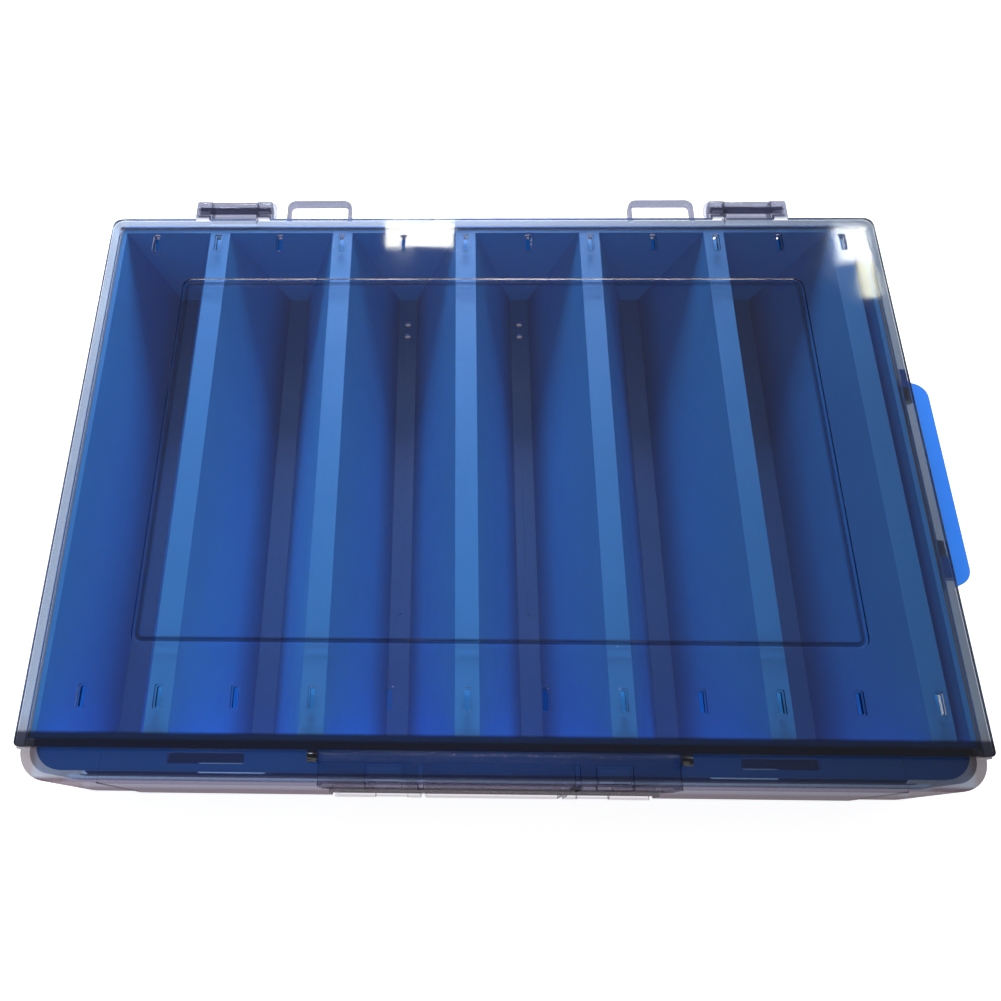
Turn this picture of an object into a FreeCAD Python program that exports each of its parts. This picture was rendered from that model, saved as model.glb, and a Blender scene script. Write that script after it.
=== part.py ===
import FreeCAD, Part
import os
import Sketcher
from types import SimpleNamespace

# Double-sided lure box: a clear frame with a lid on each side, a zigzag partition
# tray between the lids, snap latches on the front edge and a bail handle.
# Millimetres. X runs along the length, Y from the front latches to the rear hinges,
# and Z up. The origin is the centre of the face that the closed box rests on.
# Every piece is drawn about the middle plane of the box and then lifted to its place.

# Driving dimensions: name, size, meaning
DIMENSIONS = (
    ("body_width", 271.0, "frame over its side walls"),
    ("body_depth", 193.6, "frame from front wall to rear wall"),
    ("body_height", 46.0, "closed box, lid face to lid face"),
    ("front_corner", 9.2, "plan radius of the front corners"),
    ("rear_corner", 3.5, "plan radius of the rear corners"),
    ("frame_wall", 2.2, "thickness of the frame's walls"),
    ("ledge_depth", 8.9, "front ledge, from lid edge to frame front"),
    ("ledge_drop", 4.8, "front ledge below the lid's face"),
    ("ledge_sheet", 1.6, "thickness of the front ledge"),
    ("panel_width", 224.4, "raised part of the ledge and front wall"),
    ("panel_rise", 0.4, "how far that part stands proud"),
    ("lid_sheet", 2.0, "thickness of a lid"),
    ("seat_gap", 0.2, "lid above the frame's wall"),
    ("side_gap", 0.3, "general gap between neighbouring pieces"),
    ("lid_rim", 0.6, "thickness of the lid's locating rim"),
    ("lid_rim_drop", 1.6, "depth of the lid's locating rim"),
    ("lip_sheet", 2.0, "thickness of the lid's front lip"),
    ("lid_corner", 1.5, "plan radius of the lid's front corners"),
    ("slot_pitch", 22.0, "vent slot to vent slot, half a fold of the tray"),
    ("slot_row_gap", 159.8, "front slot row to rear slot row"),
    ("slot_rear_inset", 10.7, "rear slot row in from the rear wall"),
    ("slot_width", 1.4, "vent slot"),
    ("slot_length", 6.0, "vent slot"),
    ("slot_border", 0.5, "recess round a vent slot"),
    ("recess_depth", 0.7, "recesses in the lid's face"),
    ("groove_length", 214.0, "moulded line on the lid, along X"),
    ("groove_front_inset", 29.6, "moulded line in from the lid's front edge"),
    ("groove_rear_inset", 26.2, "moulded line in from the lid's rear edge"),
    ("groove_width", 1.6, "moulded line"),
    ("groove_corner", 3.2, "moulded line's outer radius"),
    ("tray_width", 264.0, "partition tray along X"),
    ("tray_rear_gap", 1.3, "tray behind the frame's rear wall"),
    ("tray_front_gap", 1.1, "tray flange to the frame's front wall"),
    ("tray_lid_gap", 0.6, "tray to each lid"),
    ("tray_sheet", 1.5, "thickness of the tray"),
    ("tray_end_inset", 11.4, "tray's front end wall in from the frame's front"),
    ("tray_shift", 2.3, "folds off the middle, towards +X"),
    ("strip_width", 7.0, "flat crest or floor of a fold"),
    ("web_offset", 1.0, "sideways offset that gives a sloped wall its thickness"),
    ("end_channel_depth", 18.0, "narrow channel beside the tray's right end wall"),
    ("end_channel_floor", 1.4, "that channel's floor, along X"),
    ("flange_gap", 0.3, "tray flange to the frame's ledge"),
    ("flange_corner", 8.0, "plan radius of the flange's front corners"),
    ("flange_slot_length", 22.0, "slot in the tray flange"),
    ("flange_slot_width", 3.2, "slot in the tray flange"),
    ("flange_slot_span", 161.8, "between the two flange slots"),
    ("flange_slot_shift", 1.9, "flange slots off the middle, towards -X"),
    ("flange_slot_inset", 3.7, "flange slots in from the flange's front"),
    ("drain_hole", 1.2, "radius of a drain hole in a fold's floor"),
    ("drain_inset", 13.0, "drain holes in from the tray's rear wall"),
    ("drain_step", 5.5, "drain hole to drain hole"),
    ("floor_rib_width", 0.8, "thin rib along a drained floor"),
    ("floor_rib_rise", 0.4, "that rib above the floor"),
    ("floor_rib_length", 118.0, "that rib along Y"),
    ("hinge_reach", 6.3, "hinge axis behind the rear wall"),
    ("arm_radius", 3.2, "lid hinge arm about its axis"),
    ("barrel_radius", 3.0, "frame hinge barrel"),
    ("pin_radius", 1.2, "hinge pin"),
    ("turn_gap", 0.05, "radial clearance of turning pieces"),
    ("hinge_inner", 79.3, "inner end of a hinge, from the middle"),
    ("hinge_outer", 105.9, "outer end of a hinge, from the middle"),
    ("arm_width", 4.8, "one hinge arm"),
    ("pin_head_radius", 2.9, "hinge pin's head"),
    ("pin_head_height", 1.5, "hinge pin's head"),
    ("foot_inner", 49.9, "inner end of a rear foot, from the middle"),
    ("foot_outer", 73.3, "outer end of a rear foot, from the middle"),
    ("foot_reach", 9.4, "rear foot behind the rear wall"),
    ("foot_bar", 1.3, "rear foot's bar"),
    ("foot_height", 2.6, "rear foot"),
    ("foot_drop", 1.4, "rear foot below the lid's face"),
    ("foot_corner", 3.0, "rear foot's outer radius"),
    ("latch_width", 100.0, "latch flap along X"),
    ("latch_barrel", 1.4, "radius of the latch flap's barrel"),
    ("latch_sheet", 1.5, "thickness of the latch flap"),
    ("latch_proud", 0.4, "latch skirt in front of the front panel"),
    ("latch_drop", 11.0, "latch skirt, down from the flap"),
    ("latch_taper", 3.0, "latch skirt's narrowing at each side"),
    ("latch_slit", 1.5, "slit between two fingers"),
    ("latch_slit_place", 21.7, "slit from the middle"),
    ("window_inner", 26.8, "latch window from the middle"),
    ("window_outer", 37.0, "latch window from the middle"),
    ("window_rear", 3.3, "latch window in front of the lid's front edge"),
    ("window_drop", 2.2, "latch window down the skirt"),
    ("catch_gap", 0.6, "frame catch inside its window"),
    ("catch_rise", 1.8, "frame catch above the ledge"),
    ("stub_radius", 1.0, "latch stub"),
    ("stub_length", 2.2, "latch stub"),
    ("latch_lug", 2.8, "lid lug that holds a latch stub"),
    ("handle_reach", 14.0, "handle's outer edge beyond its pivot"),
    ("handle_pivot", 4.0, "handle pivot beyond the side wall"),
    ("handle_length", 74.6, "handle along Y"),
    ("handle_bar", 7.0, "handle's bar and arms"),
    ("handle_sheet", 5.0, "handle's thickness"),
    ("handle_tail", 2.4, "handle's arms behind the pivot"),
    ("handle_corner", 6.0, "handle's outer corners"),
    ("handle_edge", 1.2, "rounding of the handle's long edges"),
    ("trunnion_radius", 1.9, "handle trunnion"),
    ("trunnion_length", 4.2, "handle trunnion"),
    ("handle_lug", 5.0, "frame lug that holds a trunnion, along Y"),
    ("handle_lug_radius", 3.2, "frame lug about the pivot"),
    ("overrun", 5.0, "how far a cut runs past what it cuts"),
)


# A size together with its formula over the sheet's cells
class Size:
    def __init__(self, number, text):
        self.number = number
        self.text = text

    def __add__(self, other):
        return Size(self.number + other.number, f"({self.text} + {other.text})")

    def __sub__(self, other):
        return Size(self.number - other.number, f"({self.text} - {other.text})")

    def __mul__(self, count):
        return Size(self.number * count, f"({self.text} * {count})")

    def __truediv__(self, count):
        return Size(self.number / count, f"({self.text} / {count})")

    def __neg__(self):
        return Size(-self.number, f"(-{self.text})")


def larger(first, second):
    return Size(max(first.number, second.number), f"max({first.text}; {second.text})")


ZERO = Size(0.0, "0")
doc = FreeCAD.newDocument("lure_box")
sheet = doc.addObject("Spreadsheet::Sheet", "Sizes")
for row, (name, number, meaning) in enumerate(DIMENSIONS, start=1):
    sheet.set(f"A{row}", name)
    sheet.set(f"B{row}", str(number))
    sheet.set(f"C{row}", meaning)
    sheet.setAlias(f"B{row}", name)
doc.recompute()
size = SimpleNamespace(**{name: Size(float(number), f"Sizes.{name}") for name, number, _ in DIMENSIONS})


# Drawing helpers
def start_body(label):
    body = doc.addObject("PartDesign::Body", label)
    body.Label = label
    return body


def origin_item(body, role):
    return next(item for item in body.Origin.OriginFeatures if item.Role == role)


def start_sketch(body, name, role, offset):
    sketch = body.newObject("Sketcher::SketchObject", name)
    sketch.AttachmentSupport = [(origin_item(body, role), "")]
    sketch.MapMode = "FlatFace"
    sketch.setExpression("AttachmentOffset.Base.z", offset.text)
    return sketch


def bind_constraint(sketch, kind, *places, length):
    index = sketch.addConstraint(Sketcher.Constraint(kind, *places, length.number))
    sketch.setExpression(f"Constraints[{index}]", length.text)


def bind_point(sketch, edge, end, across, along):
    for kind, axis, length in (("DistanceX", -2, across), ("DistanceY", -1, along)):
        if length is ZERO:
            sketch.addConstraint(Sketcher.Constraint("PointOnObject", edge, end, axis))
        else:
            bind_constraint(sketch, kind, -1, 1, edge, end, length=length)


def draw_polygon(sketch, points):
    first = sketch.GeometryCount
    count = len(points)
    for number, (across, along) in enumerate(points):
        next_across, next_along = points[(number + 1) % count]
        start = FreeCAD.Vector(across.number, along.number, 0)
        end = FreeCAD.Vector(next_across.number, next_along.number, 0)
        sketch.addGeometry(Part.LineSegment(start, end), False)
    for number, (across, along) in enumerate(points):
        following = first + (number + 1) % count
        sketch.addConstraint(Sketcher.Constraint("Coincident", first + number, 2, following, 1))
        bind_point(sketch, first + number, 1, across, along)


def draw_box(sketch, left, right, low, high):
    draw_polygon(sketch, ((left, low), (right, low), (right, high), (left, high)))


def draw_circle(sketch, across, along, radius):
    centre = FreeCAD.Vector(across.number, along.number, 0)
    axis = FreeCAD.Vector(0, 0, 1)
    edge = sketch.addGeometry(Part.Circle(centre, axis, radius.number), False)
    bind_point(sketch, edge, 3, across, along)
    bind_constraint(sketch, "Radius", edge, length=radius)


# A rectangle with round corners, from four lines and four quarter arcs
def draw_round_box(sketch, left, right, low, high, low_radius, high_radius):
    quarter = 90.0
    corners = (
        (right - low_radius, low + low_radius, low_radius, -quarter),
        (right - high_radius, high - high_radius, high_radius, 0.0),
        (left + high_radius, high - high_radius, high_radius, quarter),
        (left + low_radius, low + low_radius, low_radius, 2 * quarter),
    )
    arcs = []
    for across, along, radius, turn in corners:
        start = FreeCAD.Units.Quantity(f"{turn} deg").getValueAs("rad").Value
        end = FreeCAD.Units.Quantity(f"{turn + quarter} deg").getValueAs("rad").Value
        centre = FreeCAD.Vector(across.number, along.number, 0)
        circle = Part.Circle(centre, FreeCAD.Vector(0, 0, 1), radius.number)
        arcs.append(sketch.addGeometry(Part.ArcOfCircle(circle, start, end), False))
    sides = (("Vertical", right), ("Horizontal", high), ("Vertical", left), ("Horizontal", low))
    for number, (direction, place) in enumerate(sides):
        arc = arcs[number]
        following = arcs[(number + 1) % len(arcs)]
        start = sketch.getPoint(arc, 2)
        end = sketch.getPoint(following, 1)
        line = sketch.addGeometry(Part.LineSegment(start, end), False)
        sketch.addConstraint(Sketcher.Constraint("Tangent", arc, 2, line, 1))
        sketch.addConstraint(Sketcher.Constraint("Tangent", line, 2, following, 1))
        sketch.addConstraint(Sketcher.Constraint(direction, line))
        kind = "DistanceX" if direction == "Vertical" else "DistanceY"
        bind_constraint(sketch, kind, -1, 1, line, 1, length=place)
    for arc, (_, _, radius, _) in zip(arcs, corners):
        bind_constraint(sketch, "Radius", arc, length=radius)


def tip_volume(body):
    doc.recompute()
    return body.Shape.Volume


# Adds a slab whose outline lies across the axis of the plane, from low to high
def add_slab(body, name, role, low, high, draw):
    sketch = start_sketch(body, f"{name}_outline", role, low)
    draw(sketch)
    pad = body.newObject("PartDesign::Pad", name)
    pad.Profile = sketch
    pad.setExpression("Length", (high - low).text)
    body.Tip = pad
    return pad


# Cuts the same kind of slab away, and makes sure that the cut removes something
def cut_slab(body, name, role, low, high, draw):
    before = tip_volume(body)
    sketch = start_sketch(body, f"{name}_outline", role, high)
    draw(sketch)
    pocket = body.newObject("PartDesign::Pocket", name)
    pocket.Profile = sketch
    pocket.setExpression("Length", (high - low).text)
    body.Tip = pocket
    if tip_volume(body) >= before:
        raise RuntimeError(f"{name} cuts nothing")
    return pocket


def mirror(body, name, features, role):
    copy = body.newObject("PartDesign::Mirrored", name)
    copy.Originals = features
    copy.MirrorPlane = (origin_item(body, role), [""])
    body.Tip = copy
    return copy


# Repeats features on the other three of four places: left, below, and both
def mirror_both(body, name, features):
    multi = body.newObject("PartDesign::MultiTransform", name)
    steps = []
    for role in ("YZ_Plane", "XY_Plane"):
        step = doc.addObject("PartDesign::Mirrored", f"{name}_{role}")
        body.addObject(step)
        step.MirrorPlane = (origin_item(body, role), [""])
        steps.append(step)
    multi.Originals = features
    multi.Transformations = steps
    body.Tip = multi
    return multi


# Repeats features along X
def repeat(body, name, features, pitch, count):
    row = body.newObject("PartDesign::LinearPattern", name)
    row.Originals = features
    row.Direction = (origin_item(body, "X_Axis"), [""])
    row.setExpression("Length", (pitch * (count - 1)).text)
    row.Occurrences = count
    body.Tip = row
    return row


# Vent slots in a row, and whole folds of the tray between its two end walls
SLOT_COUNT = 12
FOLD_COUNT = 5

# Places worked out from the driving dimensions, about the middle plane
half_height = size.body_height / 2
half_width = size.body_width / 2
rear = size.body_depth / 2
front = -rear
lid_underside = half_height - size.lid_sheet
wall_top = lid_underside - size.seat_gap
lid_front = front + size.ledge_depth
ledge_top = half_height - size.ledge_drop
panel_top = ledge_top + size.panel_rise
panel_front = front - size.panel_rise
inner_width = half_width - size.frame_wall
inner_front = front + size.frame_wall
inner_rear = rear - size.frame_wall
rim_corner = larger(size.front_corner - size.ledge_depth - size.side_gap, size.side_gap)
hinge_y = rear + size.hinge_reach
hinge_z = half_height - size.arm_radius
barrel_inner = size.hinge_inner + size.arm_width + size.side_gap
barrel_outer = size.hinge_outer - size.arm_width - size.side_gap
tray_top = lid_underside - size.tray_lid_gap
tray_half = size.tray_width / 2
tray_rear = inner_rear - size.tray_rear_gap
tray_end = front + size.tray_end_inset
flange_front = inner_front + size.tray_front_gap
flange_top = ledge_top - size.ledge_sheet - size.flange_gap
latch_y = lid_front - size.side_gap - size.latch_barrel
latch_lug_radius = size.latch_barrel + size.side_gap / 2
latch_z = half_height - latch_lug_radius
flap_top = latch_z
flap_low = flap_top - size.latch_sheet
skirt_front = panel_front - size.latch_proud
skirt_rear = skirt_front + size.latch_sheet
latch_recess = skirt_rear + size.seat_gap
latch_half = size.latch_width / 2
latch_pocket = latch_half + size.side_gap * 2
latch_bottom = flap_low - size.latch_drop
handle_x = half_width + size.handle_pivot
handle_y = (rear + lid_front) / 2
handle_half = size.handle_length / 2
arm_inside = handle_half - size.handle_bar
lug_outer = arm_inside - size.side_gap
lug_inner = lug_outer - size.handle_lug
first_slot = size.tray_shift - size.slot_pitch * (SLOT_COUNT - 1) / 2
slot_rear = rear - size.slot_rear_inset
slot_front = slot_rear - size.slot_row_gap


# Clear outer frame
def make_frame():
    body = start_body("outer_frame")

    def outer_outline(sketch):
        corners = (size.front_corner, size.rear_corner)
        draw_round_box(sketch, -half_width, half_width, front, rear, *corners)

    def inner_outline(sketch):
        corners = (size.front_corner - size.frame_wall, size.rear_corner - size.frame_wall)
        draw_round_box(sketch, -inner_width, inner_width, inner_front, inner_rear, *corners)

    add_slab(body, "wall", "XY_Plane", -wall_top, wall_top, outer_outline)
    past_wall = wall_top + size.overrun
    cut_slab(body, "inside", "XY_Plane", -past_wall, past_wall, inner_outline)

    def step_outline(sketch):
        past_side = half_width + size.overrun
        draw_box(sketch, -past_side, past_side, front - size.overrun, lid_front - size.side_gap)

    step = cut_slab(body, "ledge_step", "XY_Plane", ledge_top, past_wall, step_outline)
    mirror(body, "ledge_step_below", [step], "XY_Plane")

    def ledge_outline(sketch):
        ledge_rear = tray_end - size.side_gap
        radii = (size.front_corner, size.side_gap)
        draw_round_box(sketch, -half_width, half_width, front, ledge_rear, *radii)

    ledge_low = ledge_top - size.ledge_sheet
    ledge = add_slab(body, "ledge", "XY_Plane", ledge_low, ledge_top, ledge_outline)
    mirror(body, "ledge_below", [ledge], "XY_Plane")

    def panel_outline(sketch):
        half_panel = size.panel_width / 2
        draw_box(sketch, -half_panel, half_panel, panel_front, lid_front - size.side_gap)

    panel = add_slab(body, "panel", "XY_Plane", ledge_low, panel_top, panel_outline)
    mirror(body, "panel_below", [panel], "XY_Plane")

    def panel_wall_outline(sketch):
        half_panel = size.panel_width / 2
        draw_box(sketch, -half_panel, half_panel, panel_front, inner_front)

    add_slab(body, "panel_wall", "XY_Plane", -ledge_low, ledge_low, panel_wall_outline)

    def latch_recess_outline(sketch):
        draw_box(sketch, -latch_pocket, latch_pocket, panel_front - size.overrun, latch_recess)

    recess_low = latch_bottom - size.side_gap * 2
    recess = cut_slab(body, "latch_recess", "XY_Plane", recess_low, past_wall, latch_recess_outline)
    mirror(body, "latch_recess_below", [recess], "XY_Plane")

    def catch_outline(sketch):
        catch_rear = lid_front - size.window_rear - size.catch_gap
        for side in (1, -1):
            near = (size.window_inner + size.catch_gap) * side
            far = (size.window_outer - size.catch_gap) * side
            draw_box(sketch, near, far, latch_recess, catch_rear)

    catch_top = panel_top + size.catch_rise
    catch = add_slab(body, "catches", "XY_Plane", ledge_low, catch_top, catch_outline)
    mirror(body, "catches_below", [catch], "XY_Plane")

    def web_outline(sketch):
        web_low = hinge_z - size.barrel_radius
        draw_box(sketch, inner_rear, hinge_y, web_low, wall_top)

    def barrel_outline(sketch):
        draw_circle(sketch, hinge_y, hinge_z, size.barrel_radius)

    def bore_outline(sketch):
        draw_circle(sketch, hinge_y, hinge_z, size.pin_radius + size.turn_gap)

    web = add_slab(body, "hinge_web", "YZ_Plane", barrel_inner, barrel_outer, web_outline)
    barrel = add_slab(body, "hinge_barrel", "YZ_Plane", barrel_inner, barrel_outer, barrel_outline)
    bore = cut_slab(body, "hinge_bore", "YZ_Plane", barrel_inner, barrel_outer, bore_outline)
    mirror_both(body, "hinge_barrels", [web, barrel, bore])

    def foot_outline(sketch):
        foot_rear = rear + size.foot_reach
        radii = (size.side_gap, size.foot_corner)
        draw_round_box(sketch, size.foot_inner, size.foot_outer, inner_rear, foot_rear, *radii)

    def foot_window(sketch):
        left = size.foot_inner + size.foot_bar
        right = size.foot_outer - size.foot_bar
        window_rear = rear + size.foot_reach - size.foot_bar
        radius = size.foot_corner / 2
        draw_round_box(sketch, left, right, rear, window_rear, size.side_gap, radius)

    foot_top = half_height - size.foot_drop
    foot_low = foot_top - size.foot_height
    foot = add_slab(body, "foot", "XY_Plane", foot_low, foot_top, foot_outline)
    window = cut_slab(body, "foot_window", "XY_Plane", foot_low, foot_top, foot_window)

    def foot_seat(sketch):
        seat_rear = rear + size.side_gap
        draw_box(sketch, -half_width, half_width, inner_rear - size.overrun, seat_rear)

    seat = cut_slab(body, "foot_seat", "XY_Plane", wall_top, half_height, foot_seat)
    mirror_both(body, "feet", [foot, window, seat])

    def lug_block(sketch):
        for side in (1, -1):
            ends = (handle_y + lug_inner * side, handle_y + lug_outer * side)
            draw_box(sketch, inner_width, handle_x, *ends)

    lug = size.handle_lug_radius
    add_slab(body, "handle_lug_blocks", "XY_Plane", -lug, lug, lug_block)

    def lug_round(sketch):
        draw_circle(sketch, handle_x, ZERO, size.handle_lug_radius)

    def lug_bore(sketch):
        draw_circle(sketch, handle_x, ZERO, size.trunnion_radius + size.turn_gap)

    # The side plane's normal points to the front, so its offsets are minus Y
    for name, side in (("front", -1), ("rear", 1)):
        ends = (-(handle_y + lug_outer * side), -(handle_y + lug_inner * side))
        low, high = ends if side > 0 else ends[::-1]
        add_slab(body, f"handle_lug_{name}", "XZ_Plane", low, high, lug_round)
        cut_slab(body, f"handle_bore_{name}", "XZ_Plane", low, high, lug_bore)
    return body


# Clear lid, drawn as the upper one
def make_lid(label):
    body = start_body(label)
    rim_side = inner_width - size.side_gap
    rim_rear = inner_rear - size.side_gap
    lip_rear = lid_front + size.lip_sheet

    def plate_outline(sketch):
        radii = (size.lid_corner, size.rear_corner)
        draw_round_box(sketch, -half_width, half_width, lid_front, rear, *radii)

    def rim_outline(sketch):
        rim_inside = rim_side - size.lid_rim
        radii = (rim_corner, size.rear_corner - size.frame_wall)
        draw_round_box(sketch, -rim_side, rim_side, lid_front, rim_rear, *radii)
        draw_box(sketch, -rim_inside, rim_inside, lip_rear, rim_rear - size.lid_rim)

    def lip_outline(sketch):
        half_lip = rim_side - rim_corner
        draw_box(sketch, -half_lip, half_lip, lid_front, lip_rear)

    add_slab(body, "plate", "XY_Plane", lid_underside, half_height, plate_outline)
    rim_low = lid_underside - size.lid_rim_drop
    lip_low = panel_top + size.side_gap
    add_slab(body, "rim", "XY_Plane", rim_low, lid_underside, rim_outline)
    add_slab(body, "lip", "XY_Plane", lip_low, lid_underside, lip_outline)

    def arm_plate(sketch):
        draw_box(sketch, rear - size.lid_sheet, hinge_y, lid_underside, half_height)

    def arm_round(sketch):
        draw_circle(sketch, hinge_y, hinge_z, size.arm_radius)

    def arm_bore(sketch):
        draw_circle(sketch, hinge_y, hinge_z, size.pin_radius + size.turn_gap)

    arms = []
    inner_arm = (size.hinge_inner, size.hinge_inner + size.arm_width)
    outer_arm = (size.hinge_outer - size.arm_width, size.hinge_outer)
    for name, ends in (("inner", inner_arm), ("outer", outer_arm)):
        arms.append(add_slab(body, f"{name}_arm", "YZ_Plane", *ends, arm_plate))
        arms.append(add_slab(body, f"{name}_arm_end", "YZ_Plane", *ends, arm_round))
        arms.append(cut_slab(body, f"{name}_arm_bore", "YZ_Plane", *ends, arm_bore))
    mirror(body, "left_arms", arms, "YZ_Plane")

    def lug_block(sketch):
        draw_box(sketch, latch_y, lid_front, latch_z - latch_lug_radius, half_height)

    def lug_round(sketch):
        draw_circle(sketch, latch_y, latch_z, latch_lug_radius)

    def lug_bore(sketch):
        draw_circle(sketch, latch_y, latch_z, size.stub_radius + size.turn_gap)

    lug_ends = (latch_half + size.side_gap, latch_half + size.side_gap + size.latch_lug)
    lug = [
        add_slab(body, "latch_lug", "YZ_Plane", *lug_ends, lug_block),
        add_slab(body, "latch_lug_end", "YZ_Plane", *lug_ends, lug_round),
        cut_slab(body, "latch_lug_bore", "YZ_Plane", *lug_ends, lug_bore),
    ]
    mirror(body, "left_latch_lug", lug, "YZ_Plane")

    def slot_outline(sketch):
        for place in (slot_front, slot_rear):
            sides = (first_slot - size.slot_width / 2, first_slot + size.slot_width / 2)
            ends = (place - size.slot_length / 2, place + size.slot_length / 2)
            draw_round_box(sketch, *sides, *ends, size.slot_width / 4, size.slot_width / 4)

    def border_outline(sketch):
        half_across = size.slot_width / 2 + size.slot_border
        half_along = size.slot_length / 2 + size.slot_border
        for place in (slot_front, slot_rear):
            sides = (first_slot - half_across, first_slot + half_across)
            ends = (place - half_along, place + half_along)
            draw_round_box(sketch, *sides, *ends, size.slot_border, size.slot_border)

    past_lid = half_height + size.overrun
    recess_low = half_height - size.recess_depth
    slot = cut_slab(body, "slots", "XY_Plane", lid_underside - size.overrun, past_lid, slot_outline)
    border = cut_slab(body, "slot_borders", "XY_Plane", recess_low, past_lid, border_outline)
    repeat(body, "slot_rows", [slot, border], size.slot_pitch, SLOT_COUNT)

    def groove_outline(sketch):
        half_groove = size.groove_length / 2
        low = lid_front + size.groove_front_inset
        high = rear - size.groove_rear_inset
        width = size.groove_width
        outer = size.groove_corner
        inner = size.groove_corner - width
        draw_round_box(sketch, -half_groove, half_groove, low, high, outer, outer)
        inside = (width - half_groove, half_groove - width, low + width, high - width)
        draw_round_box(sketch, *inside, inner, inner)

    cut_slab(body, "groove", "XY_Plane", recess_low, half_height, groove_outline)
    return body


# Blue partition tray: a folded sheet between two end walls, with a slotted front flange
def make_tray():
    body = start_body("partition_tray")
    low = -tray_top
    floor = low + size.tray_sheet
    crest_low = tray_top - size.tray_sheet
    half_strip = size.strip_width / 2
    web = size.web_offset
    wall = size.tray_sheet
    fold_pitch = size.slot_pitch * 2
    last_slot = first_slot + fold_pitch * FOLD_COUNT

    def left_outline(sketch):
        foot = first_slot - half_strip
        top = (-tray_half, tray_top)
        inside = (wall - tray_half, tray_top)
        draw_polygon(sketch, (top, (foot - wall, low), (foot, low), (foot, floor), inside))

    def fold_outline(sketch):
        floor_left = first_slot - half_strip
        floor_right = first_slot + half_strip
        crest_left = floor_left + size.slot_pitch
        crest_right = floor_right + size.slot_pitch
        next_floor = floor_left + fold_pitch
        draw_polygon(sketch, (
            (floor_left, low),
            (floor_right + web, low),
            (crest_left + web, crest_low),
            (crest_right - web, crest_low),
            (next_floor - web, low),
            (next_floor, low),
            (next_floor, floor),
            (crest_right, tray_top),
            (crest_left, tray_top),
            (floor_right, floor),
            (floor_left, floor),
        ))

    def right_outline(sketch):
        floor_left = last_slot - half_strip
        floor_right = last_slot + half_strip
        crest_left = floor_left + size.slot_pitch
        crest_right = floor_right + size.slot_pitch
        # The last slope ends in a narrow channel beside the upright end wall
        channel_floor = tray_top - size.end_channel_depth
        channel_foot = tray_half - wall - size.end_channel_floor
        draw_polygon(sketch, (
            (floor_left, low),
            (floor_right + web, low),
            (crest_left + web, crest_low),
            (crest_right - wall, crest_low),
            (tray_half - wall, low),
            (tray_half, low),
            (tray_half, tray_top),
            (tray_half - wall, tray_top),
            (tray_half - wall, channel_floor),
            (channel_foot, channel_floor),
            (crest_right, tray_top),
            (crest_left, tray_top),
            (floor_right, floor),
            (floor_left, floor),
        ))

    # The side plane's normal points to the front, so its offsets are minus Y
    along = (-tray_rear, -tray_end)
    add_slab(body, "left_wall", "XZ_Plane", *along, left_outline)
    fold = add_slab(body, "fold", "XZ_Plane", *along, fold_outline)
    repeat(body, "folds", [fold], fold_pitch, FOLD_COUNT)
    add_slab(body, "right_wall", "XZ_Plane", *along, right_outline)

    def end_outline(sketch):
        draw_box(sketch, -tray_half, tray_half, low, tray_top)

    add_slab(body, "rear_wall", "XZ_Plane", -tray_rear, wall - tray_rear, end_outline)
    add_slab(body, "front_wall", "XZ_Plane", -tray_end - wall, -tray_end, end_outline)

    def flange_outline(sketch):
        radii = (size.flange_corner, size.side_gap)
        draw_round_box(sketch, -tray_half, tray_half, flange_front, tray_end + wall / 2, *radii)

    def flange_slots(sketch):
        centre = flange_front + size.flange_slot_inset
        half_across = size.flange_slot_length / 2
        half_along = size.flange_slot_width / 2
        radius = size.flange_slot_width / 4
        for side in (1, -1):
            middle = size.flange_slot_span / 2 * side - size.flange_slot_shift
            sides = (middle - half_across, middle + half_across)
            draw_round_box(sketch, *sides, centre - half_along, centre + half_along, radius, radius)

    flange_low = flange_top - size.tray_sheet
    flange = add_slab(body, "flange", "XY_Plane", flange_low, flange_top, flange_outline)
    slots = cut_slab(body, "flange_slots", "XY_Plane", flange_low, flange_top, flange_slots)
    mirror(body, "lower_flange", [flange, slots], "XY_Plane")

    drained = first_slot + fold_pitch * 2

    def rib_outline(sketch):
        rib_rear = tray_rear - size.drain_inset
        rib_front = rib_rear - size.floor_rib_length
        half_rib = size.floor_rib_width / 2
        draw_box(sketch, drained - half_rib, drained + half_rib, rib_front, rib_rear)

    def drain_outline(sketch):
        for step in (0, 1):
            place = tray_rear - size.drain_inset - size.drain_step * step
            draw_circle(sketch, drained, place, size.drain_hole)

    rib = add_slab(body, "floor_rib", "XY_Plane", low, floor + size.floor_rib_rise, rib_outline)
    past_floor = floor + size.overrun
    drain = cut_slab(body, "drain_holes", "XY_Plane", low - size.overrun, past_floor, drain_outline)
    repeat(body, "drained_floors", [rib, drain], fold_pitch, 2)
    return body


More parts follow.
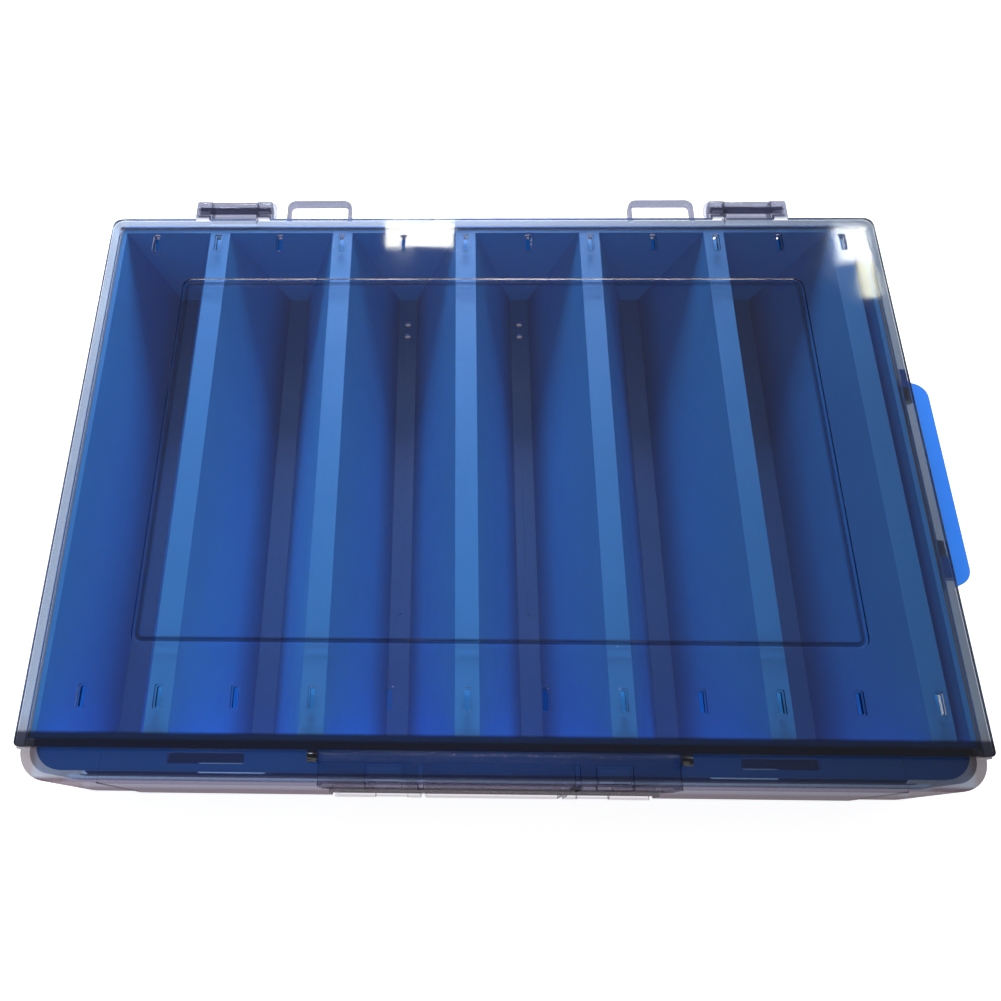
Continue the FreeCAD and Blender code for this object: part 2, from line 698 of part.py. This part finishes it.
# Clear latch flap of three fingers, drawn as the upper one
def make_latch(label):
    body = start_body(label)

    def barrel_outline(sketch):
        draw_circle(sketch, latch_y, latch_z, size.latch_barrel)

    def flap_outline(sketch):
        draw_box(sketch, -latch_half, latch_half, skirt_front, latch_y)

    def skirt_outline(sketch):
        low_half = latch_half - size.latch_taper
        top = ((latch_half, flap_top), (-latch_half, flap_top))
        draw_polygon(sketch, ((-low_half, latch_bottom), (low_half, latch_bottom), *top))

    add_slab(body, "barrel", "YZ_Plane", -latch_half, latch_half, barrel_outline)
    add_slab(body, "flap", "XY_Plane", flap_low, flap_top, flap_outline)
    add_slab(body, "skirt", "XZ_Plane", -skirt_rear, -skirt_front, skirt_outline)

    def slit_outline(sketch):
        slit_rear = latch_y - size.latch_barrel
        for side in (1, -1):
            near = size.latch_slit_place * side - size.latch_slit / 2
            draw_box(sketch, near, near + size.latch_slit, skirt_front - size.overrun, slit_rear)

    def window_outline(sketch):
        window_rear = lid_front - size.window_rear
        for side in (1, -1):
            near = size.window_inner * side
            draw_box(sketch, near, size.window_outer * side, skirt_front - size.overrun, window_rear)

    past_flap = flap_top + size.overrun
    cut_slab(body, "slits", "XY_Plane", latch_bottom - size.overrun, past_flap, slit_outline)
    cut_slab(body, "windows", "XY_Plane", flap_low - size.window_drop, past_flap, window_outline)

    def stub_outline(sketch):
        draw_circle(sketch, latch_y, latch_z, size.stub_radius)

    stub_ends = (latch_half - size.side_gap, latch_half + size.stub_length)
    stub = add_slab(body, "stub", "YZ_Plane", *stub_ends, stub_outline)
    mirror(body, "left_stub", [stub], "YZ_Plane")
    return body


# Headed hinge pin, drawn along the X axis with its head towards the middle of the box
def make_pin(label):
    body = start_body(label)
    head_end = size.hinge_inner - size.seat_gap
    head_start = head_end - size.pin_head_height

    def shaft_outline(sketch):
        draw_circle(sketch, ZERO, ZERO, size.pin_radius)

    def head_outline(sketch):
        draw_circle(sketch, ZERO, ZERO, size.pin_head_radius)

    head = add_slab(body, "head", "YZ_Plane", head_start, head_end, head_outline)
    doc.recompute()
    edges = head.Shape.Edges
    outer_edge = min(range(len(edges)), key=lambda number: edges[number].CenterOfMass.x)
    dome = body.newObject("PartDesign::Fillet", "dome")
    dome.Base = (head, [f"Edge{outer_edge + 1}"])
    dome.setExpression("Radius", (size.pin_head_height - size.seat_gap).text)
    body.Tip = dome
    add_slab(body, "shaft", "YZ_Plane", head_start, size.hinge_outer, shaft_outline)
    return body


# Blue bail handle, drawn about its pivot axis, which lies along Y
def make_handle():
    body = start_body("carry_handle")
    half_sheet = size.handle_sheet / 2

    def bail_outline(sketch):
        tail = size.handle_tail + size.overrun
        radii = (size.handle_corner, size.handle_corner)
        draw_round_box(sketch, -tail, size.handle_reach, -handle_half, handle_half, *radii)

    def tail_outline(sketch):
        past_side = handle_half + size.overrun
        past_tail = size.handle_tail + size.overrun * 2
        draw_box(sketch, -past_tail, -size.handle_tail, -past_side, past_side)

    def gap_outline(sketch):
        past_tail = size.handle_tail + size.overrun
        bar_inside = size.handle_reach - size.handle_bar
        radii = (size.handle_edge, size.handle_edge)
        draw_round_box(sketch, -past_tail, bar_inside, -arm_inside, arm_inside, *radii)

    add_slab(body, "bail", "XY_Plane", -half_sheet, half_sheet, bail_outline)
    cut_slab(body, "tail", "XY_Plane", -half_sheet, half_sheet, tail_outline)
    cut_slab(body, "finger_gap", "XY_Plane", -half_sheet, half_sheet, gap_outline)

    def trunnion_outline(sketch):
        draw_circle(sketch, ZERO, ZERO, size.trunnion_radius)

    ends = (-arm_inside - size.side_gap, size.trunnion_length - arm_inside)
    trunnion = add_slab(body, "trunnion", "XZ_Plane", *ends, trunnion_outline)
    mirror(body, "front_trunnion", [trunnion], "XZ_Plane")
    return body


# Lifts a body to its place: the lower pieces are the upper ones turned over about Y
def place(body, across, along, up, turned):
    half_turn = FreeCAD.Rotation(FreeCAD.Vector(0, 1, 0), 180)
    rotation = half_turn if turned else FreeCAD.Rotation()
    position = FreeCAD.Vector(across.number, along.number, up.number)
    body.Placement = FreeCAD.Placement(position, rotation)
    for axis, length in (("x", across), ("y", along), ("z", up)):
        body.setExpression(f"Placement.Base.{axis}", length.text)


place(make_frame(), ZERO, ZERO, half_height, False)
place(make_tray(), ZERO, ZERO, half_height, False)
for level, turned in (("upper", False), ("lower", True)):
    place(make_lid(f"{level}_lid"), ZERO, ZERO, half_height, turned)
    place(make_latch(f"{level}_latch"), ZERO, ZERO, half_height, turned)
for level, height in (("upper", half_height + hinge_z), ("lower", half_height - hinge_z)):
    for side, turned in (("right", False), ("left", True)):
        place(make_pin(f"{level}_hinge_pin_{side}"), ZERO, hinge_y, height, turned)
place(make_handle(), handle_x, handle_y, half_height, False)
doc.recompute()

# Check everything, then write one file per piece
for item in doc.Objects:
    if "Invalid" in item.State or "Error" in item.State:
        raise RuntimeError(f"{item.Label} failed: {item.State}")
bodies = [item for item in doc.Objects if item.TypeId == "PartDesign::Body"]
for body in bodies:
    if body.Shape.isNull() or not body.Shape.isValid() or len(body.Shape.Solids) != 1:
        raise RuntimeError(f"{body.Label} is not one sound solid")
os.makedirs("parts", exist_ok=True)
for body in bodies:
    body.Shape.exportStep(f"parts/{body.Label}.step")
    box = body.Shape.BoundBox
    spans = ((box.XMin, box.XMax), (box.YMin, box.YMax), (box.ZMin, box.ZMax))
    print(body.Label, " ".join(f"{low:.2f}..{high:.2f}" for low, high in spans))
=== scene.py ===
import math

import bpy
from mathutils import Matrix, Vector


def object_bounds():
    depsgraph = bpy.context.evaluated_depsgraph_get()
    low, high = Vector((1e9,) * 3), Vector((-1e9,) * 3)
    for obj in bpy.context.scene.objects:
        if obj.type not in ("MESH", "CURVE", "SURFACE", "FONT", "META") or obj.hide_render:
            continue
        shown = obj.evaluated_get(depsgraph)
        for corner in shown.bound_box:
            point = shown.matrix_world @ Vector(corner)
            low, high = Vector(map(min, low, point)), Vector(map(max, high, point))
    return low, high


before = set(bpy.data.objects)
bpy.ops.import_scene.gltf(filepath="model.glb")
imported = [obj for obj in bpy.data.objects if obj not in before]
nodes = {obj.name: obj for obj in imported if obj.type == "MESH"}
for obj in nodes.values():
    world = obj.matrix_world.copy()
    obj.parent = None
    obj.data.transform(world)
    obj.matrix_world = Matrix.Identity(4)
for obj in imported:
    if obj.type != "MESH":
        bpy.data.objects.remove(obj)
cad_low, cad_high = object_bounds()
scene = bpy.context.scene

# Where a tint begins and ends, along one axis of the part
LIP_REACH = (-0.0840, -0.0832)  # Y, the front lip of a lid
WALL_REACH = (-0.0960, -0.0952)  # Y, the front wall of the frame
CORNER_REACH = (-0.0880, -0.0780)  # Y, the front corners of the frame
END_REACH = (0.1300, 0.1318)  # X on both sides, the end walls of the frame
EAR_REACH = (0.0970, 0.0975)  # Y, the hinge ears behind the frame
RIGHT_REACH = (0.0, 0.13)  # X, from the middle to the right end, over which the painted shade darkens the smoke
EAR_TINT = (0.20, 0.21, 0.28)
EAR_THROUGH = 0.85

# The moulded line of a lid, a rectangle with round corners
LINE_MIDDLE = (0.0, 0.00615)
LINE_HALF = (0.1062, 0.06365)
LINE_CORNER = 0.0024
# Its painted shade and painted highlight, a dark stripe and a light one: how far outside
# the middle, from full to faded, and the tint
LINE_SHADE_AND_HIGHLIGHT = (
    (-0.0006, (0.0005, 0.0009), (0.26, 0.29, 0.36)),
    (0.0005, (0.0003, 0.0005), (0.88, 0.86, 0.93)),
)

# The folds of the tray, for the painted shade at their floors
MIDDLE_HEIGHT = (cad_low[2] + cad_high[2]) / 2
FOLD_REACH = 0.0204
FOLD_LIGHT_FROM = 0.3
LEVEL_SLOPE = 0.3

# How upright a face is: the size of the normal's Z when it is fully so and when not at all
LID_STEEP = (0.35, 0.99)
LATCH_STEEP = (0.05, 0.35)

# Surfaces. Wear is noise scale, detail and rise of roughness, relief is noise scale,
# detail, strength and height.
SMOKE_WEAR = (55.0, 4.0, 0.05)
SMOKE_RELIEF = (60.0, 2.0, 0.05, 0.0003)
BLUE_WEAR = (120.0, 3.0, 0.12)
BLUE_RELIEF = (1400.0, 2.0, 0.08, 0.0002)
BLUE_FLOW = (14.0, 4.0, 0.6)
SMOKE_IOR = 1.49
BLUE_IOR = 1.5
SQUARE_ROOT = 0.5

# Cleaning and softening of the meshes
WELD_DISTANCE = 0.000002
FLAT_ANGLE = math.radians(0.6)
SHARP_ANGLE = math.radians(40.0)
EDGE_SEGMENTS = 2


# Node tools
def new_material(name):
    material = bpy.data.materials.new(name)
    material.use_nodes = True
    tree = material.node_tree
    tree.nodes.clear()
    output = tree.nodes.new("ShaderNodeOutputMaterial")
    shader = tree.nodes.new("ShaderNodeBsdfPrincipled")
    tree.links.new(shader.outputs["BSDF"], output.inputs["Surface"])
    return material, tree, shader


def fill(tree, socket, value):
    """Links value to the socket if it is a socket itself, and otherwise sets it."""
    if isinstance(value, bpy.types.NodeSocket):
        tree.links.new(value, socket)
    else:
        socket.default_value = value


def noise(tree, place, scale, detail, roughness=0.5):
    node = tree.nodes.new("ShaderNodeTexNoise")
    node.inputs["Scale"].default_value = scale
    node.inputs["Detail"].default_value = detail
    node.inputs["Roughness"].default_value = roughness
    tree.links.new(place, node.inputs["Vector"])
    return node.outputs["Fac"]


def spread(tree, value, low, high, from_low=0.3, from_high=0.7):
    """Maps value from its own range to low and high, and no further."""
    node = tree.nodes.new("ShaderNodeMapRange")
    node.inputs["From Min"].default_value = from_low
    node.inputs["From Max"].default_value = from_high
    node.inputs["To Min"].default_value = low
    node.inputs["To Max"].default_value = high
    tree.links.new(value, node.inputs["Value"])
    return node.outputs["Result"]


def bump(tree, height, strength, distance):
    node = tree.nodes.new("ShaderNodeBump")
    node.inputs["Strength"].default_value = strength
    node.inputs["Distance"].default_value = distance
    tree.links.new(height, node.inputs["Height"])
    return node.outputs["Normal"]


def coordinate(tree, source):
    return tree.nodes.new("ShaderNodeTexCoord").outputs[source]


def part_of(tree, source, axis):
    split = tree.nodes.new("ShaderNodeSeparateXYZ")
    tree.links.new(coordinate(tree, source), split.inputs["Vector"])
    return split.outputs[axis]


def calculate(tree, work, *values):
    node = tree.nodes.new("ShaderNodeMath")
    node.operation = work
    for slot, value in enumerate(values):
        fill(tree, node.inputs[slot], value)
    return node.outputs["Value"]


def size_of(tree, value):
    return calculate(tree, "ABSOLUTE", value)


def larger(tree, first, *others):
    for other in others:
        first = calculate(tree, "MAXIMUM", first, other)
    return first


def blend_colours(tree, share, first, second):
    node = tree.nodes.new("ShaderNodeMix")
    node.data_type = "RGBA"
    for socket, colour in (("A", first), ("B", second)):
        plain = isinstance(colour, tuple)
        fill(tree, node.inputs[socket], (*colour, 1.0) if plain else colour)
    tree.links.new(share, node.inputs["Factor"])
    return node.outputs["Result"]


def scaled(tree, colour, amount):
    node = tree.nodes.new("ShaderNodeVectorMath")
    node.operation = "SCALE"
    tree.links.new(colour, node.inputs["Vector"])
    tree.links.new(amount, node.inputs["Scale"])
    return node.outputs["Vector"]


def wear_and_relief(tree, shader, gloss, wear, relief):
    """Gives a surface uneven gloss and a fine relief."""
    place = coordinate(tree, "Object")
    wear_scale, wear_detail, rise = wear
    rough = spread(tree, noise(tree, place, wear_scale, wear_detail), gloss, gloss + rise)
    tree.links.new(rough, shader.inputs["Roughness"])
    relief_scale, relief_detail, strength, height = relief
    skin = noise(tree, place, relief_scale, relief_detail)
    tree.links.new(bump(tree, skin, strength, height), shader.inputs["Normal"])


# Smoke-clear plastic
def line_distance(tree):
    """Distance to the middle of a lid's moulded line, negative inside it."""
    reaches = []
    for axis, middle, half in zip("XY", LINE_MIDDLE, LINE_HALF, strict=True):
        away = calculate(tree, "SUBTRACT", part_of(tree, "Object", axis), middle)
        straight = half - LINE_CORNER
        reaches.append(calculate(tree, "SUBTRACT", size_of(tree, away), straight))
    outside = [calculate(tree, "MAXIMUM", reach, 0.0) for reach in reaches]
    squares = [calculate(tree, "MULTIPLY", value, value) for value in outside]
    corner = calculate(tree, "SQRT", calculate(tree, "ADD", *squares))
    inside = calculate(tree, "MINIMUM", calculate(tree, "MAXIMUM", *reaches), 0.0)
    distance = calculate(tree, "ADD", corner, inside)
    return calculate(tree, "SUBTRACT", distance, LINE_CORNER)


def line_shade_and_highlight(tree, tint):
    """Paints a stripe of shade and a stripe of highlight along a lid's moulded line."""
    distance = line_distance(tree)
    for offset, reach, colour in LINE_SHADE_AND_HIGHLIGHT:
        away = size_of(tree, calculate(tree, "SUBTRACT", distance, offset))
        tint = blend_colours(tree, spread(tree, away, 1.0, 0.0, *reach), tint, colour)
    return tint


def front_corners(tree, tint, colour):
    """Tints the two front corners of the frame."""
    ends = size_of(tree, part_of(tree, "Object", "X"))
    ends = spread(tree, ends, 0.0, 1.0, *END_REACH)
    near = spread(tree, part_of(tree, "Object", "Y"), 1.0, 0.0, *CORNER_REACH)
    return blend_colours(tree, calculate(tree, "MULTIPLY", ends, near), tint, colour)


def front_band(tree, tint, colour, reach):
    """Tints what lies in front of reach."""
    band = spread(tree, part_of(tree, "Object", "Y"), 1.0, 0.0, *reach)
    return blend_colours(tree, band, tint, colour)


def right_painted_shade(tree, tint, right_end):
    """Paints shade: darkens the tint towards the right end, to right_end of itself."""
    amount = spread(tree, part_of(tree, "Object", "X"), 1.0, right_end, *RIGHT_REACH)
    return scaled(tree, tint, amount)


def smoke_plastic(
    name,
    flat,
    side,
    front,
    gloss,
    through=(0.0, 0.0),
    steep=LID_STEEP,
    lip=None,
    lip_reach=None,
    corner=None,
    line=False,
    right_end=None,
):
    """Smoke-clear plastic that lets the lamps light what is inside.

    A wall seen edge-on has more plastic behind it, so upright faces are darker: side
    and front tint them by the way they look, and flat tints level faces. through is
    how much light goes straight on, at level and at upright faces, and the rest is
    bent. lip tints the front up to lip_reach, corner tints the frame's front corners,
    and line paints a stripe of shade and a stripe of highlight along the lid's
    moulded line. With right_end, the share of the tint that is left at the right
    end, the tint darkens towards the right end as painted shade, and the hinge ears
    have a tint of their own too.
    """
    material, tree, shader = new_material(name)
    level = size_of(tree, part_of(tree, "Normal", "Z"))
    upright = spread(tree, level, 1.0, 0.0, *steep)
    facing_front = spread(tree, size_of(tree, part_of(tree, "Normal", "Y")), 0.0, 1.0)
    edge = blend_colours(tree, facing_front, side, front)
    tint = blend_colours(tree, upright, flat, edge)
    if corner:
        tint = front_corners(tree, tint, corner)
    if lip:
        tint = front_band(tree, tint, lip, lip_reach)
    # The moulded line gets a painted stripe of shade and one of highlight
    if line:
        tint = line_shade_and_highlight(tree, tint)
    ears = spread(tree, part_of(tree, "Object", "Y"), 0.0, 1.0, *EAR_REACH)
    # Painted shade: darker towards the right end
    if right_end:
        tint = right_painted_shade(tree, tint, right_end)
        tint = blend_colours(tree, ears, tint, EAR_TINT)
    tree.links.new(tint, shader.inputs["Base Color"])
    wear_and_relief(tree, shader, gloss, SMOKE_WEAR, SMOKE_RELIEF)
    shader.inputs["IOR"].default_value = SMOKE_IOR
    shader.inputs["Transmission Weight"].default_value = 1.0

    # Light that goes straight on meets two faces, each with the root of the tint
    clear = tree.nodes.new("ShaderNodeBsdfTransparent")
    root = tree.nodes.new("ShaderNodeGamma")
    root.inputs["Gamma"].default_value = SQUARE_ROOT
    tree.links.new(tint, root.inputs["Color"])
    tree.links.new(root.outputs["Color"], clear.inputs["Color"])
    rays = tree.nodes.new("ShaderNodeLightPath").outputs
    straight = spread(tree, upright, *through, 0.0, 1.0)
    hinge = spread(tree, ears, 0.0, EAR_THROUGH, 0.0, 1.0)
    share = larger(tree, rays["Is Shadow Ray"], rays["Is Diffuse Ray"], straight, hinge)
    mix = tree.nodes.new("ShaderNodeMixShader")
    tree.links.new(share, mix.inputs["Fac"])
    tree.links.new(shader.outputs["BSDF"], mix.inputs[1])
    tree.links.new(clear.outputs["BSDF"], mix.inputs[2])
    output = next(node for node in tree.nodes if node.type == "OUTPUT_MATERIAL")
    tree.links.new(mix.outputs["Shader"], output.inputs["Surface"])
    return material


# Blue plastic
def fold_shade_share(tree):
    """How far down a face lies in a fold that opens the way the face looks, 0 to 1: the
    share of painted shade, for little light reaches the floors of the folds.
    """
    side = spread(tree, part_of(tree, "Normal", "Z"), -1.0, 1.0, -LEVEL_SLOPE, LEVEL_SLOPE)
    height = calculate(tree, "SUBTRACT", part_of(tree, "Object", "Z"), MIDDLE_HEIGHT)
    height = calculate(tree, "MULTIPLY", height, side)
    return spread(tree, height, 1.0, 0.0, -FOLD_REACH, -FOLD_LIGHT_FROM * FOLD_REACH)


def blue_plastic(name, light, dark, gloss, fold_floor_shade=None):
    """Opaque moulded plastic with a faint flow pattern and a fine skin.

    The last argument, when given, is a painted shade: the colour at the floors of the
    tray's folds, where little light reaches.
    """
    material, tree, shader = new_material(name)
    flow = noise(tree, coordinate(tree, "Object"), *BLUE_FLOW)
    colour = blend_colours(tree, spread(tree, flow, 0.0, 1.0), light, dark)
    # Painted shade at the floors of the tray's folds, where little light reaches
    if fold_floor_shade:
        colour = blend_colours(tree, fold_shade_share(tree), colour, fold_floor_shade)
    tree.links.new(colour, shader.inputs["Base Color"])
    wear_and_relief(tree, shader, gloss, BLUE_WEAR, BLUE_RELIEF)
    shader.inputs["IOR"].default_value = BLUE_IOR
    return material


# The materials of the pieces
# right_end darkens each smoke towards its right end as painted shade
lid_smoke = smoke_plastic(
    "lid_smoke",
    flat=(0.74, 0.76, 0.80),
    side=(0.42, 0.44, 0.50),
    front=(0.10, 0.10, 0.14),
    gloss=0.02,
    lip=(0.10, 0.11, 0.16),
    lip_reach=LIP_REACH,
    line=True,
    right_end=0.72,
)
# The lower lid: the same plastic as the upper lid, with darker tints as painted shade, for
# it lies in shade under the box
shaded_under_smoke = smoke_plastic(
    "shaded_under_smoke",
    flat=(0.34, 0.30, 0.34),
    side=(0.26, 0.25, 0.30),
    front=(0.10, 0.08, 0.12),
    gloss=0.02,
    line=True,
    right_end=0.99,
)
frame_smoke = smoke_plastic(
    "frame_smoke",
    flat=(0.46, 0.59, 0.78),
    side=(0.40, 0.47, 0.59),
    front=(0.34, 0.38, 0.48),
    gloss=0.03,
    through=(0.0, 0.85),
    lip=(0.15, 0.10, 0.14),
    lip_reach=WALL_REACH,
    corner=(0.34, 0.31, 0.34),
    right_end=0.6,
)
latch_smoke = smoke_plastic(
    "latch_smoke",
    flat=(0.86, 0.85, 0.88),
    side=(0.12, 0.12, 0.14),
    front=(0.50, 0.46, 0.50),
    gloss=0.03,
    through=(0.85, 0.95),
    steep=LATCH_STEEP,
)
pin_smoke = smoke_plastic(
    "pin_smoke",
    flat=(0.50, 0.52, 0.60),
    side=(0.44, 0.46, 0.54),
    front=(0.44, 0.46, 0.54),
    gloss=0.05,
)
# The tray's fold floors take a painted shade
tray_blue = blue_plastic(
    "tray_blue",
    light=(0.026, 0.25, 0.73),
    dark=(0.022, 0.22, 0.66),
    gloss=0.42,
    fold_floor_shade=(0.012, 0.09, 0.33),
)
handle_blue = blue_plastic(
    "handle_blue",
    light=(0.035, 0.26, 1.0),
    dark=(0.03, 0.23, 0.95),
    gloss=0.30,
)

# The material of each piece and the width of its soft edges. The pins have sharp ones.
LOOKS = {
    "outer_frame": (frame_smoke, 0.0003),
    "partition_tray": (tray_blue, 0.0007),
    "upper_lid": (lid_smoke, 0.0005),
    "lower_lid": (shaded_under_smoke, 0.0005),
    "upper_latch": (latch_smoke, 0.0002),
    "lower_latch": (latch_smoke, 0.0002),
    "carry_handle": (handle_blue, 0.0005),
}
PIN_LOOK = (pin_smoke, 0.0)


def soften_edges(node, width):
    """Cleans the mesh of a node and rounds its sharp edges."""
    weld = node.modifiers.new("weld", "WELD")
    weld.merge_threshold = WELD_DISTANCE
    merge = node.modifiers.new("merge", "DECIMATE")
    merge.decimate_type = "DISSOLVE"
    merge.angle_limit = FLAT_ANGLE
    soften = node.modifiers.new("soften", "BEVEL")
    soften.width = width
    soften.segments = EDGE_SEGMENTS
    soften.limit_method = "ANGLE"
    soften.angle_limit = SHARP_ANGLE
    soften.use_clamp_overlap = True
    soften.harden_normals = True


for name, node in nodes.items():
    finish, edge_width = LOOKS.get(name, PIN_LOOK)
    node.data.materials.clear()
    node.data.materials.append(finish)
    if edge_width:
        soften_edges(node, edge_width)

# The stage: a white floor, a plain world and the lamps
WHITE = (1.0, 1.0, 1.0)
FLOOR_REACH = 3.0
FLOOR_HEIGHT = -0.0003  # just under the lower lid, so that the two faces don't flicker
FLOOR_GREY = (0.9, 0.9, 0.9)
FLOOR_ROUGHNESS = 0.9
FLOOR_GLOW = 0.68
WORLD_GLOW = 0.27

floor_mesh = bpy.data.meshes.new("floor")
floor_mesh.from_pydata(
    [
        (x * FLOOR_REACH, y * FLOOR_REACH, FLOOR_HEIGHT)
        for x, y in ((-1, -1), (1, -1), (1, 1), (-1, 1))
    ],
    [],
    [(0, 1, 2, 3)],
)
floor = bpy.data.objects.new("floor", floor_mesh)
scene.collection.objects.link(floor)
floor_finish, _, floor_shader = new_material("floor_white")
floor_shader.inputs["Roughness"].default_value = FLOOR_ROUGHNESS
floor_shader.inputs["Base Color"].default_value = (*FLOOR_GREY, 1.0)
floor_shader.inputs["Emission Color"].default_value = (*WHITE, 1.0)
floor_shader.inputs["Emission Strength"].default_value = FLOOR_GLOW
floor_mesh.materials.append(floor_finish)

world = bpy.data.worlds.new("studio")
world.use_nodes = True
background = world.node_tree.nodes["Background"]
background.inputs["Color"].default_value = (*WHITE, 1.0)
background.inputs["Strength"].default_value = WORLD_GLOW
scene.world = world


def area_light(name, place, aim, size, power, colour=WHITE):
    lamp = bpy.data.lights.new(name, "AREA")
    lamp.shape = "RECTANGLE"
    lamp.size, lamp.size_y = size
    lamp.energy = power
    lamp.color = colour
    holder = bpy.data.objects.new(name, lamp)
    holder.visible_camera = False
    scene.collection.objects.link(holder)
    holder.location = place
    toward = Vector(aim) - Vector(place)
    holder.rotation_mode = "QUATERNION"
    holder.rotation_quaternion = toward.to_track_quat("-Z", "Y")
    return holder


area_light("rear_light", (0.0, 0.74, 0.34), (0.0, 0.0, 0.02), (0.55, 0.22), 12.5)
area_light("front_light", (-0.2, -1.0, 0.9), (0.0, 0.0, 0.0), (1.6, 0.8), 5.6)

# The two windows that the lid mirrors near its rear edge, at one height and turned down
WINDOW_HEIGHT = 0.9
for name, x, y, size, power, colour in (
    ("window_left", -0.063, 0.815, (0.11, 0.05), 0.45, (1.0, 0.98, 0.80)),
    ("window_right", 0.628, 0.795, (0.053, 0.07), 0.26, (0.96, 1.0, 1.0)),
    ("window_sill", 0.640, 0.727, (0.026, 0.065), 0.10, (1.0, 1.0, 0.72)),
):
    pane = area_light(name, (x, y, WINDOW_HEIGHT), (x, y, 0.0), size, power, colour)
    pane.visible_diffuse = False
    pane.visible_transmission = False

# The camera, fitted to the photo: where it is, how it is turned, and the picture's own
# focal length and centre in pixels
EYE = Vector((-0.014374, -0.114104, 0.285697))
TURN = math.radians(-3.043)
TILT = math.radians(68.036)
ROLL = math.radians(-2.521)
FOCAL_PIXELS = 840.978
FRAME_PIXELS = 1001.0
CENTRE_PIXELS = (431.502, 514.602)
SENSOR_WIDTH = 36.0
NEAREST_SEEN = 0.01

forward = Vector(
    (math.sin(TURN) * math.cos(TILT), math.cos(TURN) * math.cos(TILT), -math.sin(TILT))
)
level = Vector((math.cos(TURN), -math.sin(TURN), 0.0))
raised = level.cross(forward)
right = math.cos(ROLL) * level + math.sin(ROLL) * raised
up = -math.sin(ROLL) * level + math.cos(ROLL) * raised
turned = Matrix((right, up, -forward)).transposed()

lens = bpy.data.cameras.new("camera")
lens.sensor_width = SENSOR_WIDTH
lens.lens = FOCAL_PIXELS / FRAME_PIXELS * SENSOR_WIDTH
lens.shift_x = (FRAME_PIXELS / 2 - CENTRE_PIXELS[0]) / FRAME_PIXELS
lens.shift_y = -(FRAME_PIXELS / 2 - CENTRE_PIXELS[1]) / FRAME_PIXELS
lens.clip_start = NEAREST_SEEN
camera = bpy.data.objects.new("camera", lens)
scene.collection.objects.link(camera)
camera.matrix_world = Matrix.Translation(EYE) @ turned.to_4x4()
scene.camera = camera

scene.view_settings.view_transform = "Standard"
